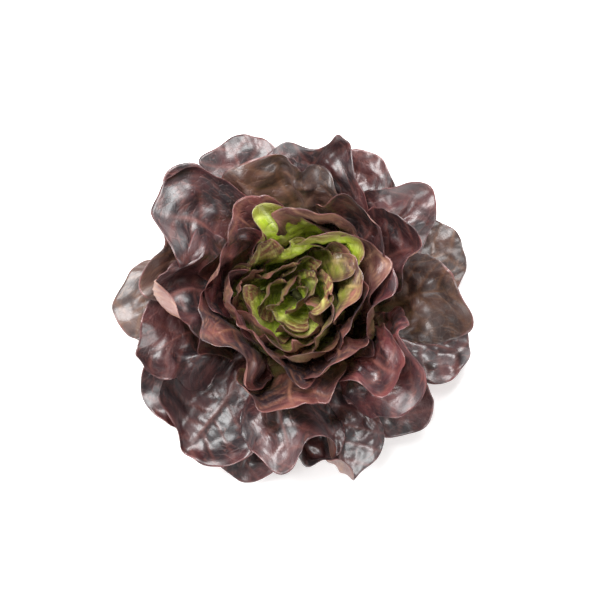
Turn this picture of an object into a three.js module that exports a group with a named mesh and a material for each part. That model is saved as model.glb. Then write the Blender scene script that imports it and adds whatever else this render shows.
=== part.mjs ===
// Red butterhead lettuce: one head, cut at the stem, standing on the cut.
// Every leaf is a solid of its own. The leaves grow in a spiral round a short stem,
// each one outside those before it, and lean on each other without touching.
//
// Millimetres, +Z up. The origin is the centre of the stem's cut face, on the table.
//
// A leaf lies on a shell. The shells are nested round the stem like the coats of a bud:
// level 0 is the upright bud at the heart, and level 1 lies out on the table. A shell's
// profile is two arcs, a bowl near the stem and a flare beyond it. A leaf wanders off
// its own shell by a smooth field of levels, which is kept outside every earlier leaf.
import * as THREE from "three";

const LEAF_COUNT = 56;
const LEAF_THICKNESS = 0.4;
// Between the middle surfaces of two leaves that lean on each other.
const LEAF_GAP = 3;
const BASE_GAP = 1.3;
const DIVERGENCE = 137.5; // degrees from one leaf to the next
const FIRST_HEART_AZIMUTH = 95;
// Degrees round the stem, anticlockwise from +X, of the leaves that make the outline,
// from the lowest leaf up.
const OUTER_AZIMUTHS = [
  251, 345, 216, 20, 65, 315, 112, 182, 134, 286, 42, 232, 0, 198, 80, 266, 158, 330,
  28, 96, 146,
];
const HEART_COUNT = LEAF_COUNT - OUTER_AZIMUTHS.length;

// The levels of the leaves, at equal steps of age from the bud to the oldest leaf, and
// the length of a leaf from base to tip, at equal steps of level.
const LEVELS = [0, 0.22, 0.41, 0.6, 0.79, 0.92, 0.99];
const LENGTHS = [38, 62, 88, 108, 119, 115];
const LONG_SIDE = { azimuth: 190, extra: 0.06 }; // the head spreads furthest to this side
const STEM_TOP = { r: 4, z: 44 }; // where the youngest leaf is attached
const STEM_FOOT = { r: 17, z: 8 }; // where the oldest leaf is attached
const STEM_CLEARANCE = 1.4; // between the stem and the ends of the leaves

// Angles of a shell's profile from the vertical, in degrees, at levels 0 to 1: at the
// stem, at the rim of the bowl, and at the end of the flare.
const BASE_ANGLES = [8, 50, 71, 80, 86];
const RIM_ANGLES = [0, 4, 9, 22, 84];
const TIP_ANGLES = [-3, 5, 14, 40, 116];
const BOWL_LENGTH = 50;
const PROFILE_LENGTH = 130;

// The raster that the level fields live on: round the stem, and along the shell.
const AZIMUTH_STEPS = 120;
const LENGTH_STEPS = 40;
const LENGTH_STEP = 3.5;
// A leaf's facets are cut from a coarser raster of the same kind, one that all leaves
// share, so that leaves whose levels are in order can't cut through each other.
const FACET_AZIMUTHS = 20;
const FACET_LENGTH_STEPS = 4;
const STRAY_STEP = 1 / 52; // levels
const WRAP = THREE.MathUtils.degToRad(125); // the furthest that a leaf reaches round

const TAU = 2 * Math.PI;
const { clamp, degToRad, lerp } = THREE.MathUtils;

function smooth(x) {
  const c = clamp(x, 0, 1);
  return c * c * (3 - 2 * c);
}

// A smooth curve through equally spaced values, for x from 0 to 1.
function through(values, x) {
  const at = clamp(x, 0, 1) * (values.length - 1);
  const i = Math.min(Math.floor(at), values.length - 2);
  const f = at - i;
  const before = i > 0 ? values[i - 1] : 2 * values[0] - values[1];
  const last = values.length - 1;
  const after = i + 2 <= last ? values[i + 2] : 2 * values[last] - values[last - 1];
  const slopeIn = (values[i + 1] - before) / 2;
  const slopeOut = (after - values[i]) / 2;
  const f2 = f * f;
  const f3 = f2 * f;
  return (
    (2 * f3 - 3 * f2 + 1) * values[i] +
    (f3 - 2 * f2 + f) * slopeIn +
    (-2 * f3 + 3 * f2) * values[i + 1] +
    (f3 - f2) * slopeOut
  );
}

// The end of an arc that starts at (r, z) and turns from one angle to another over length.
function arcEnd(r, z, from, to, length, t) {
  const slope = (to - from) / length;
  const turn = Math.abs(slope) < 1e-6 ? 1e-6 : slope;
  const end = from + turn * t;
  return {
    r: r + (Math.cos(from) - Math.cos(end)) / turn,
    z: z + (Math.sin(end) - Math.sin(from)) / turn,
  };
}

function shellPoint(level, t) {
  const base = degToRad(through(BASE_ANGLES, level));
  const rim = degToRad(through(RIM_ANGLES, level));
  const tip = degToRad(through(TIP_ANGLES, level));
  const r0 = lerp(STEM_TOP.r, STEM_FOOT.r, level);
  const z0 = lerp(STEM_TOP.z, STEM_FOOT.z, level);
  const bowl = arcEnd(r0, z0, base, rim, BOWL_LENGTH, Math.min(t, BOWL_LENGTH));
  const flare = PROFILE_LENGTH - BOWL_LENGTH;
  return t <= BOWL_LENGTH
    ? bowl
    : arcEnd(bowl.r, bowl.z, rim, tip, flare, t - BOWL_LENGTH);
}

// A repeatable value from -1 to 1 that differs from leaf to leaf.
function vary(index, pace, shift = 0) {
  return Math.sin(pace * (index + 1) + shift);
}

function describeLeaf(index) {
  const age = (index + 0.5) / LEAF_COUNT;
  const level = through(LEVELS, age);
  const azimuth =
    index < HEART_COUNT
      ? FIRST_HEART_AZIMUTH + DIVERGENCE * (index - HEART_COUNT)
      : OUTER_AZIMUTHS[LEAF_COUNT - 1 - index];
  const out = smooth((level - 0.25) / 0.4); // 0 at the heart, 1 on all leaves outside it
  const low = smooth((level - 0.6) / 0.3); // 1 on the leaves near the table only
  const side = Math.max(0, Math.cos(degToRad(azimuth - LONG_SIDE.azimuth)));
  return {
    name: `leaf_${String(index + 1).padStart(2, "0")}`,
    level,
    azimuth: degToRad(azimuth),
    length:
      through(LENGTHS, level) *
      (1 + lerp(0.12, 0.035, out) * vary(index, 2.3)) *
      (1 + LONG_SIDE.extra * side),
    // Radius of the blade's round end, as a part of the length.
    roundness: lerp(0.34, 0.29, low) * (1 + 0.07 * vary(index, 4.1)),
    baseHalfWidth: lerp(3, 10, level),
    lobing: 0.012,
    tilt: lerp(4.6, 1.8, low) * vary(index, 2.7),
    cup: lerp(1.2, -1.6, out) - 1.4 * low + lerp(1.8, 0.8, low) * vary(index, 1.7, 1),
    crease: lerp(0.6, 1.8, out),
    hood: lerp(-1.6, 1.5, out) + 1.5 * low + lerp(3.8, 1.5, low) * vary(index, 3.7, 2),
    ruffle: lerp(2.4, 1, low),
    crumple: lerp(1.4, 1.3, out),
    waves: 1.7 + 0.6 * vary(index, 5.1),
    phase: index * 2.4,
  };
}

// Half the angle that the blade opens to at its base. Its straight sides touch the round end.
function fanOf(leaf) {
  return Math.asin(leaf.roundness / (1 - leaf.roundness)) * 0.995;
}

// How far the margin is from the base, in the direction psi from the midrib.
function marginAt(leaf, psi) {
  const far = 1 - leaf.roundness;
  const end = far * Math.cos(psi) + Math.sqrt(leaf.roundness ** 2 - (far * Math.sin(psi)) ** 2);
  const around = Math.asin(clamp(psi / fanOf(leaf), -1, 1));
  const lobes =
    Math.sin(5 * around + leaf.phase) + 0.5 * Math.sin(11 * around + 2 * leaf.phase);
  return leaf.length * end * (1 + leaf.lobing * lobes * Math.cos(around));
}

// Places where the leaves inside a level lean in and those outside it lean out.
const OPENINGS = [
  { azimuth: 94, halfWidth: 34, level: 0.445, start: 25, size: 6.5 },
  { azimuth: 300, halfWidth: 30, level: 0.62, start: 35, size: 4.5 },
  { azimuth: 180, halfWidth: 26, level: 0.5, start: 35, size: 3.5 },
  { azimuth: 15, halfWidth: 26, level: 0.47, start: 35, size: 3.5 },
  { azimuth: 245, halfWidth: 22, level: 0.4, start: 30, size: 3 },
  { azimuth: 135, halfWidth: 22, level: 0.66, start: 40, size: 3 },
];

function turnBetween(from, to) {
  const turn = to - from + Math.PI;
  return (((turn % TAU) + TAU) % TAU) - Math.PI;
}

// How many steps the leaf would stray outwards from its own shell by itself.
function strayAt(leaf, psi, v, theta, x, t) {
  const u = psi / fanOf(leaf);
  const wave = Math.PI * leaf.waves * u;
  const { phase } = leaf;
  let stray =
    leaf.tilt * u * v +
    leaf.cup * (1 - u * u) * v +
    leaf.crease * (Math.exp(-((u / 0.22) ** 2)) - 0.4) * smooth(v * 1.6) * smooth((1.1 - v) * 2) +
    leaf.hood * smooth((v - 0.55) / 0.45) ** 1.5 * (0.6 + 0.4 * Math.cos(2 * u + phase)) +
    leaf.ruffle * v ** 2.2 * (Math.sin(wave + phase) + 0.35 * Math.sin(1.9 * wave + 1.7 * phase)) +
    leaf.crumple *
      smooth(v * 1.5) *
      lerp(1, 0.35, smooth((v - 0.7) / 0.3)) *
      Math.sin(x / 4.4 + 1.3 * Math.sin(t / 8 + phase)) *
      Math.sin(t / 5.2 + 1.5 * Math.sin(x / 8 + 2 * phase));
  for (const { azimuth, halfWidth, level, start, size } of OPENINGS) {
    const away = turnBetween(degToRad(azimuth), theta);
    const near = Math.exp(-((away / degToRad(halfWidth)) ** 2)) * smooth((t - start) / 40);
    const beyond = leaf.level - level;
    stray += size * near * Math.tanh(beyond / 0.06) * Math.exp(-((beyond / 0.17) ** 2));
  }
  return stray;
}

// A place of the flattened leaf. u runs from one side to the other, from -1 to 1, and v
// from the base, 0, to the margin, 1.
function onBlade(leaf, u, v) {
  const psi = fanOf(leaf) * Math.sin((u * Math.PI) / 2);
  const rho = marginAt(leaf, psi) * v;
  return {
    x: rho * Math.sin(psi) + leaf.baseHalfWidth * u * (1 - v) ** 2,
    t: v > 0 ? Math.max(rho * Math.cos(psi), 0) : -5,
  };
}

// The leaf's outline, flattened: x across from the midrib, t along from the base.
function outlineOf(leaf) {
  const sideSteps = 6;
  const marginSteps = 36;
  const points = [];
  for (let n = 0; n < sideSteps; n++) points.push(onBlade(leaf, -1, n / sideSteps));
  for (let n = 0; n <= marginSteps; n++) points.push(onBlade(leaf, (2 * n) / marginSteps - 1, 1));
  for (let n = sideSteps - 1; n >= 0; n--) points.push(onBlade(leaf, 1, n / sideSteps));
  return points;
}

// Distance from a closed outline in millimetres, positive inside it.
function depthInside(outline, x, t) {
  let nearest = Infinity;
  let inside = false;
  outline.forEach((a, n) => {
    const b = outline[(n + 1) % outline.length];
    const dx = b.x - a.x;
    const dt = b.t - a.t;
    const along = clamp(((x - a.x) * dx + (t - a.t) * dt) / (dx * dx + dt * dt), 0, 1);
    nearest = Math.min(nearest, Math.hypot(a.x + along * dx - x, a.t + along * dt - t));
    if (a.t > t !== b.t > t && x < a.x + ((t - a.t) / dt) * dx) inside = !inside;
  });
  return inside ? nearest : -nearest;
}

// Where a place on the shells is on the flattened leaf. away is the angle from its midrib.
function flatten(leaf, theta, t) {
  const away = turnBetween(leaf.azimuth, theta);
  const r = Math.max(shellPoint(leaf.level, t).r, 5);
  return r * WRAP * Math.atanh(clamp(away / WRAP, -0.999, 0.999));
}

// Holds the outermost levels above the table without changing their order.
function squeeze(level) {
  const from = 0.75;
  const limit = 1.1;
  if (level < from) return level;
  return from + (limit - from) * Math.tanh((level - from) / (limit - from));
}

function spanPerLevel(t) {
  return 38 + 1.45 * t;
}

function cell(i, j) {
  const column = (i + AZIMUTH_STEPS) % AZIMUTH_STEPS;
  return column * LENGTH_STEPS + clamp(j, 0, LENGTH_STEPS - 1);
}

// The cells that are within one facet of a marked cell.
function spread(marks) {
  const reach = { i: AZIMUTH_STEPS / FACET_AZIMUTHS + 1, j: FACET_LENGTH_STEPS + 1 };
  const across = marks.map(() => false);
  const both = marks.map(() => false);
  for (let i = 0; i < AZIMUTH_STEPS; i++)
    for (let j = 0; j < LENGTH_STEPS; j++)
      for (let d = -reach.i; d <= reach.i; d++)
        if (marks[cell(i + d, j)]) across[cell(i, j)] = true;
  for (let i = 0; i < AZIMUTH_STEPS; i++)
    for (let j = 0; j < LENGTH_STEPS; j++)
      for (let d = -reach.j; d <= reach.j; d++)
        if (across[cell(i, j + d)]) both[cell(i, j)] = true;
  return both;
}

// The level of each leaf at every place of the raster, each outside all earlier leaves.
function stackLeaves(leaves) {
  const size = AZIMUTH_STEPS * LENGTH_STEPS;
  const none = -9;
  const outermost = new Float64Array(size).fill(none);
  return leaves.map((leaf) => {
    const outline = outlineOf(leaf);
    const marks = new Array(size).fill(false);
    const wanted = new Float64Array(size);
    const floor = new Float64Array(size).fill(none);
    for (let i = 0; i < AZIMUTH_STEPS; i++)
      for (let j = 0; j < LENGTH_STEPS; j++) {
        const t = j * LENGTH_STEP;
        const theta = (i * TAU) / AZIMUTH_STEPS;
        const x = flatten(leaf, theta, t);
        const psi = clamp(Math.atan2(x, Math.max(t, 1e-3)), -fanOf(leaf), fanOf(leaf));
        const v = clamp(Math.hypot(x, t) / marginAt(leaf, psi), 0, 1.15);
        const stray = strayAt(leaf, psi, v, theta, clamp(x, -120, 120), t);
        wanted[cell(i, j)] = squeeze(leaf.level + stray * STRAY_STEP);
        marks[cell(i, j)] = depthInside(outline, x, t) > 0;
      }
    const inside = spread(marks);
    for (let at = 0; at < size; at++) {
      const t = (at % LENGTH_STEPS) * LENGTH_STEP;
      const gap = lerp(BASE_GAP, LEAF_GAP, smooth(t / 40));
      if (inside[at] && outermost[at] > none) floor[at] = outermost[at] + gap / spanPerLevel(t);
    }
    let field = wanted.map((w, at) => Math.max(w, floor[at]));
    for (let pass = 0; pass < 14; pass++) {
      const next = new Float64Array(size);
      for (let i = 0; i < AZIMUTH_STEPS; i++)
        for (let j = 0; j < LENGTH_STEPS; j++) {
          const at = cell(i, j);
          const sides = field[cell(i - 1, j)] + field[cell(i + 1, j)];
          const ends = field[cell(i, j - 1)] + field[cell(i, j + 1)];
          const eased =
            field[at] + 0.7 * ((sides + ends) / 4 - field[at]) + 0.12 * (wanted[at] - field[at]);
          next[at] = Math.max(eased, floor[at]);
        }
      field = next;
    }
    for (let at = 0; at < size; at++)
      if (inside[at]) outermost[at] = Math.max(outermost[at], field[at]);
    return field;
  });
}

// Weights of a cubic B-spline. They are all positive, so they keep the leaves' order.
function splineWeights(f) {
  const g = 1 - f;
  return [
    g ** 3 / 6,
    (3 * f ** 3 - 6 * f * f + 4) / 6,
    (3 * g ** 3 - 6 * g * g + 4) / 6,
    f ** 3 / 6,
  ];
}

function levelAt(field, theta, t) {
  const a = ((((theta % TAU) + TAU) % TAU) / TAU) * AZIMUTH_STEPS;
  const b = clamp(t / LENGTH_STEP, 0, LENGTH_STEPS - 1.001);
  const i = Math.floor(a);
  const j = Math.floor(b);
  const across = splineWeights(a - i);
  const along = splineWeights(b - j);
  let sum = 0;
  for (let p = 0; p < 4; p++)
    for (let q = 0; q < 4; q++) sum += across[p] * along[q] * field[cell(i + p - 1, j + q - 1)];
  return sum;
}

// Sways the whole head a little, all leaves together, so that it isn't a perfect round.
function sway(p) {
  const lift = smooth(p.z / 60);
  const wave = (x) => Math.sin(TAU * x);
  const dx = 6 * wave(p.y / 85 + p.z / 120 + 0.0955) + 1.5 * wave(p.y / 47 - p.z / 70 + p.x / 140 + 0.3183);
  const dy = 6 * wave(p.x / 90 - p.z / 110 + 0.6207) + 1.5 * wave(p.x / 52 + p.z / 75 + p.y / 150 + 0.7958);
  return new THREE.Vector3(p.x + dx * lift, p.y + dy * lift, p.z);
}

function pointAt(field, theta, t) {
  const at = shellPoint(levelAt(field, theta, t), t);
  return sway(new THREE.Vector3(at.r * Math.cos(theta), at.r * Math.sin(theta), at.z));
}

// The two sides of a leaf at a corner of the facets' raster, half a thickness apart
// from the middle.
function facetCorner(leaf, outline, field, i, j) {
  const theta = (i * TAU) / FACET_AZIMUTHS;
  const t = j * FACET_LENGTH_STEPS * LENGTH_STEP;
  const middle = pointAt(field, theta, t);
  const step = 2;
  const turn = step / Math.max(Math.hypot(middle.x, middle.y), 5);
  const across = pointAt(field, theta + turn, t).sub(pointAt(field, theta - turn, t));
  const along = pointAt(field, theta, t + step).sub(pointAt(field, theta, Math.max(t - step, 0)));
  const half = across.cross(along).normalize().multiplyScalar(LEAF_THICKNESS / 2);
  return {
    depth: depthInside(outline, flatten(leaf, theta, t), t),
    outer: middle.clone().add(half),
    inner: middle.clone().sub(half),
    key: `${(i + FACET_AZIMUTHS) % FACET_AZIMUTHS},${j}`,
  };
}

// The part of a facet that is inside the outline, as corners in order.
function cutFacet(corners) {
  const kept = [];
  corners.forEach((a, n) => {
    const b = corners[(n + 1) % corners.length];
    if (a.depth > 0) kept.push(a);
    if (a.depth > 0 !== b.depth > 0) {
      const [first, second] = a.key < b.key ? [a, b] : [b, a];
      const f = clamp(first.depth / (first.depth - second.depth), 0.12, 0.88);
      kept.push({
        depth: 0,
        outer: first.outer.clone().lerp(second.outer, f),
        inner: first.inner.clone().lerp(second.inner, f),
        key: `${first.key}>${second.key}`,
      });
    }
  });
  return kept;
}

// A closed solid: an outer and an inner face half a thickness from the middle surface,
// with a rim all round.
function leafGeometry(leaf, field) {
  const outline = outlineOf(leaf);
  const rows = Math.floor((LENGTH_STEPS - 1) / FACET_LENGTH_STEPS);
  const numbers = new Map();
  const outer = [];
  const inner = [];
  const faces = [];
  const number = (corner) => {
    if (!numbers.has(corner.key)) {
      numbers.set(corner.key, outer.length);
      outer.push(corner.outer);
      inner.push(corner.inner);
    }
    return numbers.get(corner.key);
  };
  const corners = [];
  for (let i = 0; i < FACET_AZIMUTHS; i++) {
    corners.push([]);
    for (let j = 0; j <= rows; j++) corners[i].push(facetCorner(leaf, outline, field, i, j));
  }
  for (let i = 0; i < FACET_AZIMUTHS; i++)
    for (let j = 0; j < rows; j++) {
      const a = corners[i][j];
      const b = corners[(i + 1) % FACET_AZIMUTHS][j];
      const c = corners[(i + 1) % FACET_AZIMUTHS][j + 1];
      const d = corners[i][j + 1];
      for (const facet of [[a, b, c], [a, c, d]]) {
        const kept = cutFacet(facet).map(number);
        for (let n = 2; n < kept.length; n++) faces.push([kept[0], kept[n - 1], kept[n]]);
      }
    }
  const sides = new Set(faces.flatMap(([a, b, c]) => [`${a} ${b}`, `${b} ${c}`, `${c} ${a}`]));
  const back = outer.length;
  const index = faces.flatMap(([a, b, c]) => [a, b, c, back + a, back + c, back + b]);
  for (const side of sides) {
    const [a, b] = side.split(" ").map(Number);
    if (!sides.has(`${b} ${a}`)) index.push(a, back + a, back + b, a, back + b, b);
  }
  const geometry = new THREE.BufferGeometry();
  const positions = [...outer, ...inner].flatMap((p) => p.toArray());
  geometry.setAttribute("position", new THREE.Float32BufferAttribute(positions, 3));
  geometry.setIndex(index);
  geometry.computeVertexNormals();
  return geometry;
}

// A short cone inside the ends of the leaves, with a flat cut below.
function stemGeometry() {
  const foot = STEM_FOOT.r - STEM_CLEARANCE;
  const top = STEM_TOP.r - STEM_CLEARANCE;
  const profile = [
    [0, 0],
    [foot - 1.2, 0],
    [foot - 0.2, 0.8],
    [foot, 2.5],
  ];
  const coneSteps = 6;
  for (let n = 0; n <= coneSteps; n++) {
    const f = n / coneSteps;
    profile.push([lerp(foot, top, f), lerp(STEM_FOOT.z, STEM_TOP.z, f)]);
  }
  profile.push([0, STEM_TOP.z + 1]);
  const outline = profile.map(([r, z]) => new THREE.Vector2(r, z));
  const geometry = new THREE.LatheGeometry(outline, 24).rotateX(Math.PI / 2);
  const position = geometry.getAttribute("position");
  for (let n = 0; n < position.count; n++) {
    const p = sway(new THREE.Vector3().fromBufferAttribute(position, n));
    position.setXYZ(n, p.x, p.y, p.z);
  }
  return geometry;
}

function addPiece(group, name, geometry, color) {
  const material = new THREE.MeshStandardMaterial({ color, roughness: 0.45, metalness: 0 });
  const mesh = new THREE.Mesh(geometry, material);
  mesh.name = name;
  group.add(mesh);
}

const RED_LEAF = 0x4a2226;
const HEART_LEAF = 0x8a9440;
const STEM_GREEN = 0xc9cf9e;

// Leaves whose green shows, counted from the bud: the heart, and three that stand open
// behind it.
const HEART_LEAVES = 12;
const OPEN_GREEN_LEAVES = [14, 19, 22];

const leaves = Array.from({ length: LEAF_COUNT }, (_, index) => describeLeaf(index));
const fields = stackLeaves(leaves);
const group = new THREE.Group();
addPiece(group, "stem", stemGeometry(), STEM_GREEN);
leaves.forEach((leaf, index) => {
  const green = index < HEART_LEAVES || OPEN_GREEN_LEAVES.includes(index);
  const color = green ? HEART_LEAF : RED_LEAF;
  addPiece(group, leaf.name, leafGeometry(leaf, fields[index]), color);
});

export default group;
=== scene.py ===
"""Red butterhead lettuce on a white table, seen from above.

The leaves lie on the same nested shells as in the CAD part, and here they get their
blisters, folds, veins, turned margins and colours.
"""
import math

import bpy
import numpy as np
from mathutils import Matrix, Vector


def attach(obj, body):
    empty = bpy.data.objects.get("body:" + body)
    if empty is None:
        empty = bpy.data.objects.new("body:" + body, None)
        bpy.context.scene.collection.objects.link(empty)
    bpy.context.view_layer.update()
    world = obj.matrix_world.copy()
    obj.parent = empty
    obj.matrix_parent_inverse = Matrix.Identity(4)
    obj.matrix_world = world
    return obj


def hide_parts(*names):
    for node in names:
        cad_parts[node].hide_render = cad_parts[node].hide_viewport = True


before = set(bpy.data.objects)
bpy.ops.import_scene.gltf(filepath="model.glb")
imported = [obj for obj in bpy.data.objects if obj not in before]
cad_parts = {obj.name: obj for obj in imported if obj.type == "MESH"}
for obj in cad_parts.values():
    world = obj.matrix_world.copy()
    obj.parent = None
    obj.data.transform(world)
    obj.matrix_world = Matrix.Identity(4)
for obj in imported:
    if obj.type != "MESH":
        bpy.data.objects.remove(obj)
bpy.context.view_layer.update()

TAU = 2 * math.pi

# ---------------------------------------------------------------------------
# Where the leaves are. Millimetres and levels, as the CAD part lays them out.
# ---------------------------------------------------------------------------
LEAF_COUNT = 56
STRAY_STEP = 1 / 52  # levels
LEAF_GAP = 3.0  # between the middle surfaces of two leaves that lean on each other
BASE_GAP = 1.3
DIVERGENCE = 137.5
FIRST_HEART_AZIMUTH = 95
OUTER_AZIMUTHS = [  # from the lowest leaf up
    251, 345, 216, 20, 65, 315, 112, 182, 134, 286, 42, 232, 0, 198, 80, 266, 158, 330,
    28, 96, 146,
]
HEART_COUNT = LEAF_COUNT - len(OUTER_AZIMUTHS)
LENGTHS = [38, 62, 88, 108, 119, 115]
LEVELS = [0, 0.22, 0.41, 0.60, 0.79, 0.92, 0.99]
LONG_SIDE_AZIMUTH = 190
LONG_SIDE_EXTRA = 0.06
STEM_TOP = (4, 44)
STEM_FOOT = (17, 8)
STEM_CLEARANCE = 1.4
# Angles of a shell's profile from the vertical, at levels 0 to 1.
BASE_ANGLES = [8, 50, 71, 80, 86]
RIM_ANGLES = [0, 4, 9, 22, 84]
TIP_ANGLES = [-3, 5, 14, 40, 116]
BOWL_LENGTH = 50
PROFILE_LENGTH = 130
AZIMUTH_STEPS = 120
LENGTH_STEPS = 40
LENGTH_STEP = 3.5
FACET_AZIMUTHS = 20
FACET_LENGTH_STEPS = 4
WRAP = math.radians(125)  # the furthest that a leaf reaches round


def smooth(x):
    c = np.clip(x, 0, 1)
    return c * c * (3 - 2 * c)


def mix(a, b, f):
    return a + (b - a) * f


def through(values, x):
    """A smooth curve through equally spaced values, for x from 0 to 1."""
    at = np.clip(x, 0, 1) * (len(values) - 1)
    i = np.minimum(np.floor(at).astype(int), len(values) - 2)
    f = at - i
    ends = [2 * values[0] - values[1], *values, 2 * values[-1] - values[-2]]
    knots = np.array(ends, float)
    before, start, end, after = (knots[i + n] for n in range(4))
    slope_in = (end - before) / 2
    slope_out = (after - start) / 2
    f2 = f * f
    f3 = f2 * f
    return ((2 * f3 - 3 * f2 + 1) * start + (f3 - 2 * f2 + f) * slope_in
            + (3 * f2 - 2 * f3) * end + (f3 - f2) * slope_out)


def arc_end(r, z, start, end, length, t):
    """The end of an arc that turns from one angle to another over length."""
    slope = (end - start) / length
    turn = np.where(np.abs(slope) < 1e-6, 1e-6, slope)
    angle = start + turn * t
    return (r + (np.cos(start) - np.cos(angle)) / turn,
            z + (np.sin(angle) - np.sin(start)) / turn)


def shell_point(level, t):
    """Radius and height of a shell, at the distance t along it from the stem."""
    level = np.asarray(level, float) + 0 * t
    base, rim, tip = (np.radians(through(angles, level))
                      for angles in (BASE_ANGLES, RIM_ANGLES, TIP_ANGLES))
    r0 = mix(STEM_TOP[0], STEM_FOOT[0], level)
    z0 = mix(STEM_TOP[1], STEM_FOOT[1], level)
    r1, z1 = arc_end(r0, z0, base, rim, BOWL_LENGTH, np.minimum(t, BOWL_LENGTH))
    flare = PROFILE_LENGTH - BOWL_LENGTH
    r2, z2 = arc_end(r1, z1, rim, tip, flare, np.maximum(t - BOWL_LENGTH, 0))
    beyond = t > BOWL_LENGTH
    return np.where(beyond, r2, r1), np.where(beyond, z2, z1)


def vary(index, pace, shift=0):
    """A repeatable value from -1 to 1 that differs from leaf to leaf."""
    return math.sin(pace * (index + 1) + shift)


def describe_leaf(index):
    age = (index + 0.5) / LEAF_COUNT
    level = float(through(LEVELS, age))
    if index < HEART_COUNT:
        azimuth = FIRST_HEART_AZIMUTH + DIVERGENCE * (index - HEART_COUNT)
    else:
        azimuth = OUTER_AZIMUTHS[LEAF_COUNT - 1 - index]
    out = float(smooth((level - 0.25) / 0.4))  # 0 at the heart, 1 on all leaves outside it
    low = float(smooth((level - 0.6) / 0.3))  # 1 on the leaves near the table only
    long_side = max(0.0, math.cos(math.radians(azimuth - LONG_SIDE_AZIMUTH)))
    length = float(through(LENGTHS, level)) * (1 + mix(0.12, 0.035, out) * vary(index, 2.3))
    return {
        "name": f"leaf_{index + 1:02d}",
        "index": index,
        "level": level,
        "azimuth": math.radians(azimuth),
        "length": length * (1 + LONG_SIDE_EXTRA * long_side),
        "roundness": mix(0.34, 0.29, low) * (1 + 0.07 * vary(index, 4.1)),
        "base": mix(3, 10, level),
        "lobing": 0.012,
        "tilt": mix(4.6, 1.8, low) * vary(index, 2.7),
        "cup": mix(1.2, -1.6, out) - 1.4 * low + mix(1.8, 0.8, low) * vary(index, 1.7, 1),
        "crease": mix(0.6, 1.8, out),
        "hood": mix(-1.6, 1.5, out) + 1.5 * low + mix(3.8, 1.5, low) * vary(index, 3.7, 2),
        "ruffle": mix(2.4, 1.0, low),
        "crumple": mix(1.4, 1.3, out),
        "waves": 1.7 + 0.6 * vary(index, 5.1),
        "phase": index * 2.4,
    }


def fan_of(leaf):
    """Half the angle that the blade opens to at its base: its sides touch the round end."""
    return math.asin(leaf["roundness"] / (1 - leaf["roundness"])) * 0.995


def margin_at(leaf, psi):
    """How far the margin is from the base, in the direction psi from the midrib."""
    far = 1 - leaf["roundness"]
    end = far * np.cos(psi) + np.sqrt(leaf["roundness"] ** 2 - (far * np.sin(psi)) ** 2)
    round_the_end = np.arcsin(np.clip(psi / fan_of(leaf), -1, 1))
    phase = leaf["phase"]
    lobes = np.sin(5 * round_the_end + phase) + 0.5 * np.sin(11 * round_the_end + 2 * phase)
    return leaf["length"] * end * (1 + leaf["lobing"] * lobes * np.cos(round_the_end))


# Places where the leaves inside a level lean in and those outside it lean out.
OPENINGS = [  # azimuth, half width in degrees, level, distance from the stem, size
    (94, 34, 0.445, 25, 6.5),
    (300, 30, 0.62, 35, 4.5),
    (180, 26, 0.50, 35, 3.5),
    (15, 26, 0.47, 35, 3.5),
    (245, 22, 0.40, 30, 3.0),
    (135, 22, 0.66, 40, 3.0),
]


def stray_at(leaf, psi, v, theta, x, t):
    """How many steps the leaf would stray outwards from its own shell by itself."""
    u = psi / fan_of(leaf)
    phase = leaf["phase"]
    wave = math.pi * leaf["waves"] * u
    midrib = np.exp(-(u / 0.22) ** 2) - 0.4
    ruffles = np.sin(wave + phase) + 0.35 * np.sin(1.9 * wave + 1.7 * phase)
    crumples_across = np.sin(x / 4.4 + 1.3 * np.sin(t / 8 + phase))
    crumples_along = np.sin(t / 5.2 + 1.5 * np.sin(x / 8 + 2 * phase))
    stray = (leaf["tilt"] * u * v
             + leaf["cup"] * (1 - u * u) * v
             + leaf["crease"] * midrib * smooth(v * 1.6) * smooth((1.1 - v) * 2)
             + leaf["hood"] * smooth((v - 0.55) / 0.45) ** 1.5 * (0.6 + 0.4 * np.cos(2 * u + phase))
             + leaf["ruffle"] * v ** 2.2 * ruffles
             + leaf["crumple"] * smooth(v * 1.5) * mix(1, 0.35, smooth((v - 0.7) / 0.3))
             * crumples_across * crumples_along)
    for azimuth, half_width, level, start, size in OPENINGS:
        away = (theta - math.radians(azimuth) + math.pi) % TAU - math.pi
        near = np.exp(-(away / math.radians(half_width)) ** 2) * smooth((t - start) / 40)
        beyond = leaf["level"] - level
        side = math.tanh(beyond / 0.06) * math.exp(-(beyond / 0.17) ** 2)
        stray = stray + size * side * near
    return stray


def on_blade(leaf, u, v):
    """Flattened place, x across and t along, of a point of the leaf."""
    psi = fan_of(leaf) * np.sin(u * math.pi / 2)
    rho = margin_at(leaf, psi) * v
    x = rho * np.sin(psi) + leaf["base"] * u * (1 - v) ** 2
    return x, np.maximum(rho * np.cos(psi), 0)


def outline_of(leaf):
    """The leaf's closed outline, flattened."""
    rise = np.arange(6) / 6
    across = np.linspace(-1, 1, 37)
    u = np.concatenate([-np.ones(6), across, np.ones(6)])
    v = np.concatenate([rise, np.ones(37), rise[::-1]])
    x, t = on_blade(leaf, u, v)
    return np.stack([x, np.where(v > 0, t, -5)], -1)


def depth_inside(outline, x, t):
    """Distance from a closed outline, positive inside it."""
    nearest = np.full(x.shape, np.inf)
    inside = np.zeros(x.shape, bool)
    for (ax, at), (bx, bt) in zip(outline, np.roll(outline, -1, 0)):
        dx, dt = bx - ax, bt - at
        along = np.clip(((x - ax) * dx + (t - at) * dt) / (dx * dx + dt * dt), 0, 1)
        nearest = np.minimum(nearest, np.hypot(ax + along * dx - x, at + along * dt - t))
        if dt:
            inside ^= ((at > t) != (bt > t)) & (x < ax + (t - at) / dt * dx)
    return np.where(inside, nearest, -nearest)


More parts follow.
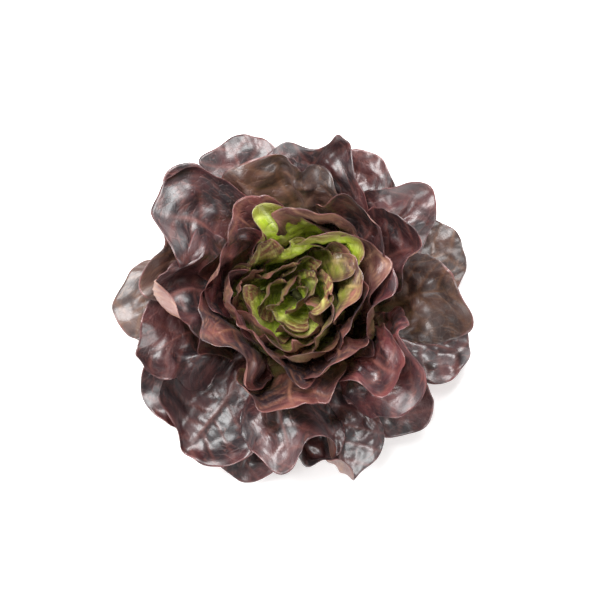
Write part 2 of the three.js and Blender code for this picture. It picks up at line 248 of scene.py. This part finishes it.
def flatten(leaf, theta, t):
    """How far across the flattened leaf a place on the shells is."""
    away = (theta - leaf["azimuth"] + math.pi) % TAU - math.pi
    r = np.maximum(shell_point(leaf["level"], t)[0], 5)
    return r * WRAP * np.arctanh(np.clip(away / WRAP, -0.999, 0.999))


def squeeze(level):
    """Holds the outermost levels above the table without changing their order."""
    start, limit = 0.75, 1.1
    beyond = start + (limit - start) * np.tanh((level - start) / (limit - start))
    return np.where(level < start, level, beyond)


def span_per_level(t):
    """About how far apart two shells are that differ by one level."""
    return 38 + 1.45 * t


def spread(marks):
    """The cells that are within one CAD facet of a marked cell."""
    across = marks.copy()
    for d in range(1, AZIMUTH_STEPS // FACET_AZIMUTHS + 2):
        across |= np.roll(marks, d, 0) | np.roll(marks, -d, 0)
    both = across.copy()
    for d in range(1, FACET_LENGTH_STEPS + 2):
        both[:, d:] |= across[:, :-d]
        both[:, :-d] |= across[:, d:]
    return both


def stack_leaves(leaves):
    """The level of each leaf at every place of the raster, each outside all earlier ones."""
    theta = (np.arange(AZIMUTH_STEPS) * TAU / AZIMUTH_STEPS)[:, None]
    t = (np.arange(LENGTH_STEPS) * LENGTH_STEP)[None, :]
    none = -9.0
    outermost = np.full((AZIMUTH_STEPS, LENGTH_STEPS), none)
    gap = mix(BASE_GAP, LEAF_GAP, smooth(t / 40)) / span_per_level(t)
    fields = []
    for leaf in leaves:
        x = flatten(leaf, theta, t)
        t_all = t + 0 * x
        psi = np.clip(np.arctan2(x, np.maximum(t_all, 1e-3)), -fan_of(leaf), fan_of(leaf))
        v = np.clip(np.hypot(x, t_all) / margin_at(leaf, psi), 0, 1.15)
        stray = stray_at(leaf, psi, v, theta, np.clip(x, -120, 120), t_all)
        wanted = squeeze(leaf["level"] + stray * STRAY_STEP)
        inside = spread(depth_inside(outline_of(leaf), x, t_all) > 0)
        floor = np.where(inside & (outermost > none), outermost + gap, none)
        field = np.maximum(wanted, floor)
        for _ in range(14):
            sides = np.roll(field, 1, 0) + np.roll(field, -1, 0)
            padded = np.pad(field, ((0, 0), (1, 1)), mode="edge")
            ends = padded[:, :-2] + padded[:, 2:]
            eased = field + 0.7 * ((sides + ends) / 4 - field) + 0.12 * (wanted - field)
            field = np.maximum(eased, floor)
        fields.append(field)
        outermost = np.where(inside, np.maximum(outermost, field), outermost)
    return fields


def spline_weights(f):
    """Weights of a cubic B-spline. They are all positive, so they keep the leaves' order."""
    g = 1 - f
    return [
        g ** 3 / 6,
        (3 * f ** 3 - 6 * f * f + 4) / 6,
        (3 * g ** 3 - 6 * g * g + 4) / 6,
        f ** 3 / 6,
    ]


def level_at(field, theta, t):
    """The leaf's level between the cells of its raster."""
    a = (theta % TAU) / TAU * AZIMUTH_STEPS
    b = np.clip(t / LENGTH_STEP, 0, LENGTH_STEPS - 1.001)
    i = np.floor(a).astype(int)
    j = np.floor(b).astype(int)
    total = 0
    for p, across in enumerate(spline_weights(a - i)):
        column = (i + p - 1) % AZIMUTH_STEPS
        for q, along in enumerate(spline_weights(b - j)):
            total = total + across * along * field[column, np.clip(j + q - 1, 0, LENGTH_STEPS - 1)]
    return total


def wave(at):
    return np.sin(TAU * at)


def sway(p):
    """Sways the whole head a little, all leaves together, so that it isn't a perfect round."""
    x, y, z = p[..., 0], p[..., 1], p[..., 2]
    lift = smooth(z / 60)
    dx = 6 * wave(y / 85 + z / 120 + 0.0955) + 1.5 * wave(y / 47 - z / 70 + x / 140 + 0.3183)
    dy = 6 * wave(x / 90 - z / 110 + 0.6207) + 1.5 * wave(x / 52 + z / 75 + y / 150 + 0.7958)
    return np.stack([x + dx * lift, y + dy * lift, z], -1)


def shell_place(leaf, field, x, t):
    """Where a flattened place of the leaf is in space."""
    r = np.maximum(shell_point(leaf["level"], t)[0], 5)
    theta = leaf["azimuth"] + WRAP * np.tanh(x / (r * WRAP))
    r, z = shell_point(level_at(field, theta, t), t)
    return sway(np.stack([r * np.cos(theta), r * np.sin(theta), z], -1))


# ---------------------------------------------------------------------------
# Leaf solids
# ---------------------------------------------------------------------------
COLUMNS = 76
ROWS = 54
THICKNESS = 0.6
MARGIN_THICKNESS = 0.24
BLISTER_HEIGHT = 0.8
FOLD_HEIGHT = 2.3
VEIN_DEPTH = 1.0
FRILL_HEIGHT = 1.5
TURNED_MARGIN = 3.2
NOTCH_DEPTH = 0.09  # as a part of the leaf's length
TABLE_CLEARANCE = 0.8
# The greenest leaves, counted from 0 at the heart: the heart's own, and three that stand
# open behind it. Their yellow-green is their own colour, made lighter still as painted
# light where light falls on them and shines through.
BRIGHT_LEAVES = {14, 19, 22}


def normals_of(p):
    """Normals of a grid of points, towards the underside of the leaf."""
    across = np.gradient(p, axis=1)
    along = np.gradient(p, axis=0)
    n = np.cross(across, along)
    return n / np.maximum(np.linalg.norm(n, axis=-1, keepdims=True), 1e-9)


def cells(x, t, spacing, seed):
    """How far a place is from the border between two cells of an uneven net, and the cell's
    own random value."""
    rng = np.random.default_rng(seed)
    across = np.arange(-80, 81, spacing)
    along = np.arange(-spacing, 140, spacing * 0.9)
    seeds = np.stack(np.meshgrid(across, along), -1).reshape(-1, 2)
    seeds = seeds + rng.uniform(-0.42, 0.42, seeds.shape) * spacing
    value = rng.uniform(0, 1, len(seeds))
    flat = np.stack([x.ravel(), t.ravel()], -1)
    distance = np.linalg.norm(flat[:, None, :] - seeds[None], axis=-1)
    order = np.argpartition(distance, 2, axis=1)[:, :2]
    two = np.take_along_axis(distance, order, 1)
    first = np.where(two[:, 0] < two[:, 1], order[:, 0], order[:, 1])
    border = np.abs(two[:, 0] - two[:, 1]) / spacing
    return border.reshape(x.shape), value[first].reshape(x.shape)


def vein_height(leaf, x, t):
    """How near a place is to the midrib and to the side veins, 1 on the vein."""
    length = leaf["length"]
    rib = np.exp(-(x / mix(3.4, 0.9, smooth(t / length))) ** 2) * smooth((1.02 - t / length) * 4)
    bend = np.abs(x) ** 1.25 * 0.32
    lateral = (t - bend) / (length * 0.115) + 0.33 * np.sign(x) + leaf["phase"]
    nearness = np.abs((lateral + 0.5) % 1 - 0.5)
    away = np.abs(x)
    width = mix(0.11, 0.05, smooth(away / 45))
    side = np.exp(-(nearness / width) ** 2) * smooth(away / 3) * mix(0.9, 0.5, smooth(away / 50))
    return rib, side


def blister_height(leaf, x, t, spacing):
    """Blisters between the small veins, and the borders of their cells."""
    border, value = cells(x, t, spacing, leaf["index"] + 100)
    return smooth(border * 1.2) * mix(0.55, 1.1, value), border


def fold_height(leaf, x, t, spacing):
    """Folds that are wider than the blisters and longer along the leaf."""
    border, value = cells(x * 1.25, t, spacing * 2.6, leaf["index"] + 300)
    return smooth(border * 1.05) * mix(0.3, 1.2, value)


def margin_relief(leaf, u, v):
    """How far the margin goes inwards: a fine frill, less the parts that turn outwards."""
    phase = leaf["phase"]
    level = leaf["level"]
    ripples = 0.5 * np.sin(u * 19 + phase) + 0.3 * np.sin(u * 37 + 2 * phase)
    frill = smooth((v - 0.84) / 0.16) * ripples
    free = float(smooth((level - 0.05) / 0.2) * (1 - 0.55 * smooth((level - 0.6) / 0.3)))
    bends = 0.5 + np.sin(u * 4.2 + 1.7 * phase) + 0.5 * np.sin(u * 9.5 + phase)
    bends = bends + 0.35 * np.sin(u * 17 + 3 * phase)
    turn = smooth((v - 0.66) / 0.34) ** 2 * bends
    return FRILL_HEIGHT * frill - TURNED_MARGIN * free * turn


def notches(leaf, u):
    """How far the margin is set back, as a part of the leaf's length."""
    phase = leaf["phase"]
    level = leaf["level"]
    middle = float(smooth((level - 0.1) / 0.2) * (1 - smooth((level - 0.68) / 0.15)))
    dips = smooth(0.35 + 0.5 * np.sin(u * 6.5 + 2.3 * phase) + 0.4 * np.sin(u * 13 + phase))
    depth = 0 if leaf["index"] in BRIGHT_LEAVES else NOTCH_DEPTH
    return depth * middle * dips


def relief_size(level):
    """Height of the blisters and folds: least at the heart, most on the middle leaves."""
    middle = smooth((level - 0.25) / 0.15) * (1 - smooth((level - 0.7) / 0.15))
    return mix(0.6, 1.25, float(smooth(level * 1.4))) * (1 + 0.35 * float(middle))


def leaf_grid(leaf, field):
    """The middle surface of the leaf as a grid of points, with what the materials need."""
    u = np.linspace(-1, 1, COLUMNS + 1)[None, :] + np.zeros((ROWS + 1, 1))
    v = np.linspace(0, 1, ROWS + 1)[:, None] ** 0.85 + np.zeros((1, COLUMNS + 1))
    x, t = on_blade(leaf, u, v * (1 - notches(leaf, u)))
    p = shell_place(leaf, field, x, t)
    spacing = mix(5.5, 9.0, leaf["level"])
    blister, border = blister_height(leaf, x, t, spacing)
    fold = fold_height(leaf, x, t, spacing)
    rib, side = vein_height(leaf, x, t)
    fade = smooth(v * 2.2) * smooth((1 - v) * 6)
    size = relief_size(leaf["level"])
    lumps = size * (BLISTER_HEIGHT * (blister - 0.5) + FOLD_HEIGHT * (fold - 0.4))
    height = lumps * fade * (1 - 0.7 * rib) - VEIN_DEPTH * side * fade + margin_relief(leaf, u, v)
    p = p - normals_of(p) * height[..., None]
    p[..., 2] = np.maximum(p[..., 2], TABLE_CLEARANCE)
    return p, dict(u=u, v=v, x=x, t=t, rib=rib, side=side, border=border)


def leaf_faces(rows, columns):
    """Quads of the upper side, the underside and the rim."""
    count = rows * columns
    grid = np.arange(count).reshape(rows, columns)
    a, b, c, d = grid[:-1, :-1], grid[:-1, 1:], grid[1:, 1:], grid[1:, :-1]
    top = np.stack([a, d, c, b], -1).reshape(-1, 4)
    bottom = np.stack([a, b, c, d], -1).reshape(-1, 4) + count
    loop = np.concatenate([grid[0, :-1], grid[:-1, -1], grid[-1, :0:-1], grid[:0:-1, 0]])
    after = np.roll(loop, -1)
    rim = np.stack([loop, after, after + count, loop + count], -1)
    return top, bottom, rim


def bake_places(facts, corner, count, rim_count):
    """Texture places of the face corners: the two sides next to each other, and the rim
    in a strip of its own below them."""
    back = corner >= count
    at = corner % count
    across = (facts["u"].ravel()[at] + 1) / 2
    along = facts["v"].ravel()[at]
    place = np.stack([0.01 + 0.48 * across + 0.5 * back, 0.03 + 0.96 * along], -1)
    start = 0.01 + 0.98 * np.arange(rim_count) / rim_count
    end = start + 0.98 / rim_count
    low = np.full(rim_count, 0.005)
    high = np.full(rim_count, 0.012)
    strip = np.stack([start, low, end, low, end, high, start, high], -1)
    place[-4 * rim_count:] = strip.reshape(-1, 2)
    return place


def leaf_mesh(leaf, p, facts):
    """A closed solid, thinner at the margin, with the facts as attributes."""
    rows, columns = p.shape[:2]
    count = rows * columns
    thinning = mix(1, MARGIN_THICKNESS / THICKNESS, smooth((facts["v"] - 0.8) / 0.2))
    half = normals_of(p) * (THICKNESS / 2 * thinning)[..., None]
    points = np.concatenate([(p - half).reshape(-1, 3), (p + half).reshape(-1, 3)]) / 1000
    sides = leaf_faces(rows, columns)
    faces = np.concatenate(sides)
    mesh = bpy.data.meshes.new(leaf["name"] + "_visual")
    mesh.from_pydata(points.tolist(), [], faces.tolist())
    slots = np.concatenate([np.full(len(quads), slot) for slot, quads in enumerate(sides)])
    mesh.polygons.foreach_set("material_index", slots.astype(np.int32))
    mesh.polygons.foreach_set("use_smooth", np.ones(len(faces), bool))
    for name in ("v", "rib", "side", "border"):
        values = np.concatenate([facts[name].ravel(), facts[name].ravel()]).astype(np.float32)
        mesh.attributes.new("leaf_" + name, "FLOAT", "POINT").data.foreach_set("value", values)
    apart = np.full(p.shape[:2], leaf["index"] * 37.0)
    flat = np.stack([facts["x"], facts["t"], apart], -1).reshape(-1, 3) / 100
    flat = np.concatenate([flat, flat]).astype(np.float32)
    mesh.attributes.new("leaf_flat", "FLOAT_VECTOR", "POINT").data.foreach_set("vector", flat.ravel())
    corner = np.zeros(len(mesh.loops), np.int32)
    mesh.loops.foreach_get("vertex_index", corner)
    place = bake_places(facts, corner, count, len(sides[2]))
    uv = mesh.uv_layers.new(name="OFBake")
    uv.data.foreach_set("uv", place.astype(np.float32).ravel())
    mesh.update()
    piece = bpy.data.objects.new(leaf["name"] + "_visual", mesh)
    bpy.context.scene.collection.objects.link(piece)
    return piece


# ---------------------------------------------------------------------------
# Materials
# ---------------------------------------------------------------------------
def srgb(r, g, b):
    def linear(c):
        c /= 255
        return c / 12.92 if c <= 0.04045 else ((c + 0.055) / 1.055) ** 2.4
    return (linear(r), linear(g), linear(b), 1.0)


class Graph:
    """Short names for building a material's nodes."""

    def __init__(self, name):
        self.material = bpy.data.materials.new(name)
        self.material.use_nodes = True
        self.tree = self.material.node_tree
        self.shader = self.tree.nodes["Principled BSDF"]

    def node(self, kind, **settings):
        node = self.tree.nodes.new(kind)
        for key, value in settings.items():
            setattr(node, key, value)
        return node

    def join(self, source, target):
        self.tree.links.new(source, target)

    def put(self, socket, value):
        if isinstance(value, bpy.types.NodeSocket):
            self.join(value, socket)
        else:
            socket.default_value = value

    def attribute(self, name, output="Fac"):
        return self.node("ShaderNodeAttribute", attribute_name=name).outputs[output]

    def math(self, operation, a, b):
        node = self.node("ShaderNodeMath", operation=operation)
        self.put(node.inputs[0], a)
        self.put(node.inputs[1], b)
        return node.outputs[0]

    def ramp(self, value, low, high, out_low=0.0, out_high=1.0):
        node = self.node("ShaderNodeMapRange", interpolation_type="SMOOTHSTEP")
        self.put(node.inputs["Value"], value)
        limits = {"From Min": low, "From Max": high, "To Min": out_low, "To Max": out_high}
        for name, number in limits.items():
            node.inputs[name].default_value = number
        return node.outputs["Result"]

    def blend(self, factor, a, b):
        node = self.node("ShaderNodeMix", data_type="RGBA")
        self.put(node.inputs["Factor"], factor)
        self.put(node.inputs["A"], a)
        self.put(node.inputs["B"], b)
        return node.outputs["Result"]

    def noise(self, vector, scale, detail):
        node = self.node("ShaderNodeTexNoise")
        self.put(node.inputs["Vector"], vector)
        node.inputs["Scale"].default_value = scale
        node.inputs["Detail"].default_value = detail
        return node.outputs["Fac"]

    def net(self, vector, scale):
        node = self.node("ShaderNodeTexVoronoi", feature="DISTANCE_TO_EDGE")
        self.put(node.inputs["Vector"], vector)
        node.inputs["Scale"].default_value = scale
        return node.outputs["Distance"]


UPPER_GLOSS = 1.0
UNDER_GLOSS = 0.3
GLOSS_ROUGHNESS = 0.30
BLOOM_TINT = (0.82, 0.76, 0.86, 1)
BUMP_STRENGTH = 0.42
BUMP_DEPTH = 0.0012


def leaf_material(name, red, dark, green, vein, margin, greenness, under=False):
    """Red or green skin with pale veins and a waxy gloss. greenness is how far out from the
    base the green reaches: 0 keeps the whole blade red, 1 leaves only the margin red."""
    g = Graph(name)
    flat = g.attribute("leaf_flat", "Vector")
    v = g.attribute("leaf_v")
    rib = g.attribute("leaf_rib")
    side = g.attribute("leaf_side")
    border = g.attribute("leaf_border")
    patches = g.noise(flat, 5.0, 4.0)
    fine = g.noise(flat, 30.0, 4.0)
    # green near the base, red towards the margin, with an uneven border between them
    wander = g.math("SUBTRACT", g.math("MULTIPLY", patches, 0.5), 0.25)
    height = g.math("ADD", v, wander)
    redness = g.ramp(height, greenness - 0.14, greenness + 0.16)
    tone = g.blend(g.ramp(patches, 0.38, 0.64), dark, red)
    colour = g.blend(redness, green, tone)
    # the veins between blisters, and the fine net inside them
    big_net = g.ramp(border, 0.0, 0.16, 1.0, 0.0)
    fine_net = g.ramp(g.net(flat, 26.0), 0.0, 0.05, 1.0, 0.0)
    lines = g.math("MAXIMUM", g.math("MULTIPLY", big_net, 0.55), g.math("MULTIPLY", fine_net, 0.22))
    lines = g.math("MAXIMUM", lines, g.math("MULTIPLY", side, 0.8))
    lines = g.math("MAXIMUM", lines, g.math("MULTIPLY", rib, 0.9))
    colour = g.blend(g.math("MULTIPLY", lines, 0.85), colour, vein)
    # a paler line along parts of the margin
    edge = g.ramp(v, 0.982, 0.998)
    edge = g.math("MULTIPLY", edge, g.ramp(patches, 0.4, 0.65, 0.1, 0.7))
    colour = g.blend(edge, colour, margin)
    g.join(colour, g.shader.inputs["Base Color"])
    g.join(g.ramp(fine, 0.3, 0.7, 0.42, 0.56), g.shader.inputs["Roughness"])
    g.shader.inputs["Specular IOR Level"].default_value = 0.5
    g.shader.inputs["Coat Weight"].default_value = UNDER_GLOSS if under else UPPER_GLOSS
    g.shader.inputs["Coat Roughness"].default_value = GLOSS_ROUGHNESS
    g.shader.inputs["Sheen Weight"].default_value = 0.05
    g.shader.inputs["Sheen Roughness"].default_value = 0.4
    g.shader.inputs["Sheen Tint"].default_value = BLOOM_TINT
    # a fine grain, lower along the veins
    bump = g.node("ShaderNodeBump")
    bump.inputs["Strength"].default_value = BUMP_STRENGTH
    bump.inputs["Distance"].default_value = BUMP_DEPTH
    grain = g.noise(flat, 75.0, 3.0)
    relief = g.math("SUBTRACT", g.math("MULTIPLY", fine, 0.8), g.math("MULTIPLY", fine_net, 0.8))
    relief = g.math("ADD", relief, g.math("MULTIPLY", grain, 0.25))
    relief = g.math("SUBTRACT", relief, g.math("MULTIPLY", big_net, 0.5))
    g.join(relief, bump.inputs["Height"])
    g.join(bump.outputs["Normal"], g.shader.inputs["Normal"])
    return g.material


# Leaves, counted from 0 at the heart, that differ in colour from others of their level.
SPECIAL_KINDS = {
    "painted_lit_green": BRIGHT_LEAVES,
    "heart": {17},
    "crimson": {20, 25, 29, 34, 38},
    "rosy": {24, 27},
    "olive": {36, 39, 43, 48, 52},
}

MARGIN = srgb(116, 62, 60)
UPPER_COLOURS = {
    "heart": dict(greenness=0.72, green=srgb(152, 172, 38), red=srgb(112, 64, 48),
                  dark=srgb(84, 44, 38), vein=srgb(208, 212, 120)),
    # painted light: a green lighter than the heart's own, for light falling on and shining through
    # these leaves
    "painted_lit_green": dict(greenness=0.9, green=srgb(168, 194, 34), red=srgb(112, 64, 48),
                   dark=srgb(84, 44, 38), vein=srgb(214, 218, 130)),
    "inner": dict(greenness=0.74, green=srgb(134, 142, 44), red=srgb(146, 94, 78),
                  dark=srgb(70, 40, 38), vein=srgb(172, 148, 92)),
    "middle": dict(greenness=0.55, green=srgb(114, 106, 48), red=srgb(108, 58, 54),
                   dark=srgb(36, 20, 26), vein=srgb(146, 98, 76)),
    "crimson": dict(greenness=0.55, green=srgb(104, 92, 50), red=srgb(106, 47, 50),
                    dark=srgb(50, 24, 30), vein=srgb(150, 90, 80)),
    "rosy": dict(greenness=0.62, green=srgb(138, 136, 58), red=srgb(138, 92, 80),
                 dark=srgb(84, 48, 46), vein=srgb(180, 138, 110)),
    "outer": dict(greenness=0.22, green=srgb(84, 76, 44), red=srgb(71, 33, 35),
                  dark=srgb(25, 14, 19), vein=srgb(118, 72, 66)),
    "olive": dict(greenness=0.50, green=srgb(84, 74, 46), red=srgb(80, 53, 44),
                  dark=srgb(48, 33, 30), vein=srgb(116, 82, 60)),
}
UNDER_COLOURS = dict(green=srgb(132, 136, 62), red=srgb(130, 82, 70),
                     dark=srgb(92, 54, 48), vein=srgb(172, 130, 100))
RIM_COLOURS = dict(green=srgb(104, 80, 48), red=srgb(80, 40, 40),
                   dark=srgb(44, 25, 28), vein=srgb(104, 60, 54))


def leaf_materials():
    """For each kind of leaf, the materials of its upper side, underside and rim."""
    sets = {}
    for kind, colours in UPPER_COLOURS.items():
        greenness = min(colours["greenness"] + 0.2, 0.85)
        sets[kind] = (
            leaf_material(kind + "_upper", margin=MARGIN, **colours),
            leaf_material(kind + "_under", margin=MARGIN, greenness=greenness, under=True,
                          **UNDER_COLOURS),
            leaf_material(kind + "_rim", margin=MARGIN, greenness=0.2, under=True, **RIM_COLOURS),
        )
    return sets


def kind_of(leaf):
    for kind, indices in SPECIAL_KINDS.items():
        if leaf["index"] in indices:
            return kind
    for kind, top_level in (("heart", 0.24), ("inner", 0.46), ("middle", 0.68)):
        if leaf["level"] < top_level:
            return kind
    return "outer"


def build_leaves():
    """One piece for each leaf node, on the same place as the node's solid."""
    leaves = [describe_leaf(index) for index in range(LEAF_COUNT)]
    fields = stack_leaves(leaves)
    materials = leaf_materials()
    for leaf, field in zip(leaves, fields):
        points, facts = leaf_grid(leaf, field)
        piece = leaf_mesh(leaf, points, facts)
        for material in materials[kind_of(leaf)]:
            piece.data.materials.append(material)
        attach(piece, "root")
        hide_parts(leaf["name"])


def build_stem():
    """A short cone inside the ends of the leaves, with faint ridges and a flat cut below."""
    foot = STEM_FOOT[0] - STEM_CLEARANCE
    top = STEM_TOP[0] - STEM_CLEARANCE
    profile = [(foot - 1.2, 0), (foot - 0.2, 0.8), (foot, 2.5)]
    for n in range(13):
        profile.append((mix(foot, top, n / 12), mix(STEM_FOOT[1], STEM_TOP[1], n / 12)))
    sides = 96
    angles = np.arange(sides) * TAU / sides
    rings = []
    for r, z in profile:
        ridge = r * (1 + (0.012 * np.sin(9 * angles + z) if z > 1 else 0 * angles))
        rings.append(np.stack([ridge * np.cos(angles), ridge * np.sin(angles), 0 * angles + z], -1))
    rings = sway(np.array(rings))
    tip = sway(np.array([[0, 0, STEM_TOP[1] + 1.0]]))
    points = np.concatenate([rings.reshape(-1, 3), [[0, 0, 0]], tip])
    low, high = len(points) - 2, len(points) - 1
    faces = []
    for row in range(len(profile) - 1):
        below = row * sides
        above = below + sides
        for n in range(sides):
            m = (n + 1) % sides
            faces.append((below + n, below + m, above + m, above + n))
    last = (len(profile) - 1) * sides
    for n in range(sides):
        m = (n + 1) % sides
        faces.append((low, m, n))
        faces.append((high, last + n, last + m))
    mesh = bpy.data.meshes.new("stem_visual")
    mesh.from_pydata((points / 1000).tolist(), [], faces)
    mesh.update()
    piece = bpy.data.objects.new("stem_visual", mesh)
    bpy.context.scene.collection.objects.link(piece)
    g = Graph("stem_flesh")
    spot = g.node("ShaderNodeTexCoord").outputs["Object"]
    mottled = g.noise(spot, 180.0, 3.0)
    g.join(g.blend(mottled, srgb(176, 178, 130), srgb(206, 204, 164)), g.shader.inputs["Base Color"])
    g.shader.inputs["Roughness"].default_value = 0.5
    mesh.materials.append(g.material)
    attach(piece, "root")
    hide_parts("stem")


# ---------------------------------------------------------------------------
# Table, light and camera
# ---------------------------------------------------------------------------
LOOK_AT = (0, 0, 0.05)
LIGHTS = {  # place, width and power
    "key": ((-0.28, 0.38, 1.05), 0.7, 17),
    "front": ((0.7, -0.55, 0.6), 0.6, 6),
    "left": ((-0.9, -0.1, 0.5), 0.6, 9),
    "back": ((0.3, 0.85, 0.65), 0.6, 12),
}
CAMERA_TARGET = np.array([0.0025, 0.003, 0.03])
CAMERA_ELEVATION = math.radians(83)
CAMERA_DISTANCE = 1.22


def build_floor():
    bpy.ops.mesh.primitive_plane_add(size=6, location=(0, 0, 0))
    floor = bpy.context.object
    floor.name = "floor"
    g = Graph("floor_white")
    g.shader.inputs["Base Color"].default_value = (0.95, 0.95, 0.95, 1)
    g.shader.inputs["Roughness"].default_value = 0.7
    g.shader.inputs["Emission Color"].default_value = (1, 1, 1, 1)
    g.shader.inputs["Emission Strength"].default_value = 0.24
    floor.data.materials.append(g.material)


def build_lights(scene):
    world = bpy.data.worlds.new("studio")
    world.use_nodes = True
    background = world.node_tree.nodes["Background"]
    background.inputs["Color"].default_value = (1, 1, 1, 1)
    background.inputs["Strength"].default_value = 0.25
    scene.world = world
    for name, (place, width, power) in LIGHTS.items():
        data = bpy.data.lights.new(name, "AREA")
        data.shape = "DISK"
        data.size = width
        data.energy = power
        lamp = bpy.data.objects.new(name, data)
        lamp.location = place
        lamp.rotation_euler = (Vector(LOOK_AT) - Vector(place)).to_track_quat("-Z", "Y").to_euler()
        scene.collection.objects.link(lamp)


def build_camera(scene):
    data = bpy.data.cameras.new("camera")
    data.lens = 100
    camera = bpy.data.objects.new("camera", data)
    direction = np.array([0, -math.cos(CAMERA_ELEVATION), math.sin(CAMERA_ELEVATION)])
    camera.location = CAMERA_TARGET + CAMERA_DISTANCE * direction
    camera.rotation_euler = (math.pi / 2 - CAMERA_ELEVATION, 0, 0)
    scene.collection.objects.link(camera)
    scene.camera = camera
    scene.view_settings.view_transform = "Standard"


build_leaves()
build_stem()
build_floor()
build_lights(bpy.context.scene)
build_camera(bpy.context.scene)
